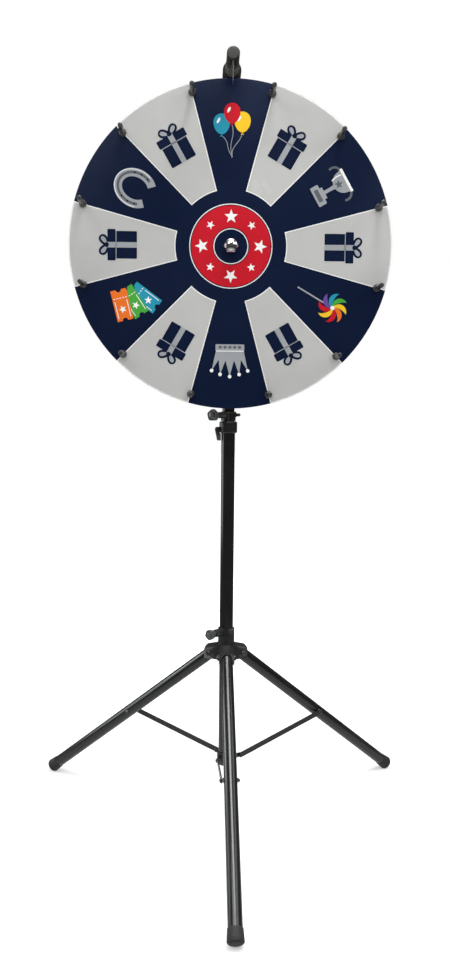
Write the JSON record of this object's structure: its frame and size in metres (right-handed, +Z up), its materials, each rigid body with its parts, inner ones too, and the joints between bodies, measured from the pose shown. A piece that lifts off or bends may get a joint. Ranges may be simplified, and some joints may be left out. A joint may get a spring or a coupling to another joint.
{
  "type": "prize wheel on tripod stand",
  "caption": "Upright spinning prize wheel with dark and pale segments, rim pegs and a top flapper, on a telescopic mast with a folding tripod of braced legs.",
  "frame": {"origin": "on the floor, at the middle of the tripod's footprint box", "axes": "+Z up along the mast, -Y out of the wheel's face towards the player, +X to the right of the player"},
  "size_m": [0.7904, 0.6956, 1.4785],
  "materials": {
    "board_wood": "satin",
    "navy_sheet": "satin",
    "pale_vinyl": "satin",
    "peg_plastic": "gloss",
    "zinc_steel": "satin",
    "hub_alloy": "satin",
    "bush_bronze": "satin",
    "bright_chrome": "polished",
    "tube_black": "satin",
    "fitting_black": "matt",
    "flapper_grey": "satin",
    "foot_rubber": "matt"
  },
  "bodies": {
    "stand": {"main_tube": "tube_black", "tube_plug": "fitting_black", "clamp_collar": "fitting_black", "clamp_bush": "fitting_black", "lever_pin": "zinc_steel", "spreader": "fitting_black", "spreader_pins": "zinc_steel"},
    "glide": {"tube_glide": "fitting_black"},
    "mast": {"inner_tube": "tube_black", "head_socket": "fitting_black", "head_bolt_nut": "zinc_steel", "head_post": "tube_black", "post_spigot": "fitting_black", "axle_block": "fitting_black", "block_screws": "zinc_steel", "axle": "bright_chrome", "axle_spacer": "zinc_steel", "cap_nut": "bright_chrome", "arm_elbow": "fitting_black", "arm_sleeve": "fitting_black", "pointer_holder": "fitting_black", "arm_screw": "zinc_steel", "flapper_pin": "zinc_steel"},
    "wheel": {"wheel_board": "board_wood", "face_sheet": "navy_sheet", "light_segments": "pale_vinyl", "pegs": "peg_plastic", "peg_screws": "zinc_steel", "hub_flange": "hub_alloy", "flange_screws": "zinc_steel", "rear_bush": "bush_bronze", "front_bush": "bush_bronze"},
    "flapper": {"flapper": "flapper_grey"},
    "clamp_lever": {"clamp_lever": "fitting_black"},
    "head_knob": {"head_knob": "fitting_black", "head_bolt": "zinc_steel"},
    "hub": {"leg_hub": "fitting_black", "leg_bolts": "zinc_steel", "leg_nuts": "zinc_steel"},
    "hub_knob": {"hub_knob": "fitting_black", "hub_screw": "zinc_steel"},
    "leg_front": {"leg_tube_front": "tube_black", "leg_plug_front": "fitting_black", "foot_front": "foot_rubber", "brace_bolt_front": "zinc_steel"},
    "brace_front": {"brace_front": "tube_black", "brace_rivet_front": "zinc_steel"},
    "leg_right": {"leg_tube_right": "tube_black", "leg_plug_right": "fitting_black", "foot_right": "foot_rubber", "brace_bolt_right": "zinc_steel"},
    "brace_right": {"brace_right": "tube_black", "brace_rivet_right": "zinc_steel"},
    "leg_left": {"leg_tube_left": "tube_black", "leg_plug_left": "fitting_black", "foot_left": "foot_rubber", "brace_bolt_left": "zinc_steel"},
    "brace_left": {"brace_left": "tube_black", "brace_rivet_left": "zinc_steel"}
  },
  "joints": [
    {"name": "mast_slide", "type": "slide", "parent": "stand", "child": "glide", "axis": [0, 0, 1], "range_m": [0, 0.4]},
    {"name": "mast_turn", "type": "hinge", "parent": "glide", "child": "mast", "pos_m": [0.00418, 0.1055, 0.808], "axis": [0, 0, 1], "continuous": true},
    {"name": "wheel_spin", "type": "hinge", "parent": "mast", "child": "wheel", "pos_m": [0.00418, 0.1055, 1.133], "axis": [0, -1, 0], "continuous": true},
    {"name": "flapper_swing", "type": "hinge", "parent": "mast", "child": "flapper", "pos_m": [0.00418, 0.0155, 1.4515], "axis": [0, -1, 0], "range_deg": [-45, 45], "stiffness_Nm_per_rad": 0.05},
    {"name": "clamp_lever_flip", "type": "hinge", "parent": "stand", "child": "clamp_lever", "pos_m": [-0.01722, 0.1055, 0.791], "axis": [0, 1, 0], "range_deg": [0, 110]},
    {"name": "head_knob_turn", "type": "hinge", "parent": "mast", "child": "head_knob", "pos_m": [0.00418, 0.1055, 0.8195], "axis": [-0.6428, -0.766, 0], "range_deg": [0, 720]},
    {"name": "hub_slide", "type": "slide", "parent": "stand", "child": "hub", "axis": [0, 0, 1], "range_m": [0, 0.2572]},
    {"name": "hub_knob_turn", "type": "hinge", "parent": "hub", "child": "hub_knob", "pos_m": [0.00418, 0.1055, 0.387], "axis": [-0.6691, -0.7431, 0], "range_deg": [0, 720]},
    {"name": "leg_front_fold", "type": "hinge", "parent": "hub", "child": "leg_front", "pos_m": [0.00479, 0.07351, 0.339], "axis": [0.9998, 0.0192, 0], "range_deg": [0, 51.47]},
    {"name": "brace_front_fold", "type": "hinge", "parent": "stand", "child": "brace_front", "pos_m": [0.00471, 0.0775, 0.126], "axis": [-0.9998, -0.0192, 0], "range_deg": [0, 74.7]},
    {"name": "leg_right_fold", "type": "hinge", "parent": "hub", "child": "leg_right", "pos_m": [0.03157, 0.12202, 0.339], "axis": [-0.5165, 0.8563, 0], "range_deg": [0, 51.47]},
    {"name": "brace_right_fold", "type": "hinge", "parent": "stand", "child": "brace_right", "pos_m": [0.02815, 0.11996, 0.126], "axis": [0.5165, -0.8563, 0], "range_deg": [0, 74.7]},
    {"name": "leg_left_fold", "type": "hinge", "parent": "hub", "child": "leg_left", "pos_m": [-0.02383, 0.12096, 0.339], "axis": [-0.4833, -0.8755, 0], "range_deg": [0, 51.47]},
    {"name": "brace_left_fold", "type": "hinge", "parent": "stand", "child": "brace_left", "pos_m": [-0.02033, 0.11903, 0.126], "axis": [0.4833, 0.8755, 0], "range_deg": [0, 74.7]}
  ],
  "couplings": [
    {"joint": "leg_front_fold", "follows": "hub_slide", "rad_per_m": 3.4913},
    {"joint": "brace_front_fold", "follows": "hub_slide", "rad_per_m": 5.0679},
    {"joint": "leg_right_fold", "follows": "hub_slide", "rad_per_m": 3.4913},
    {"joint": "brace_right_fold", "follows": "hub_slide", "rad_per_m": 5.0679},
    {"joint": "leg_left_fold", "follows": "hub_slide", "rad_per_m": 3.4913},
    {"joint": "brace_left_fold", "follows": "hub_slide", "rad_per_m": 5.0679}
  ]
}
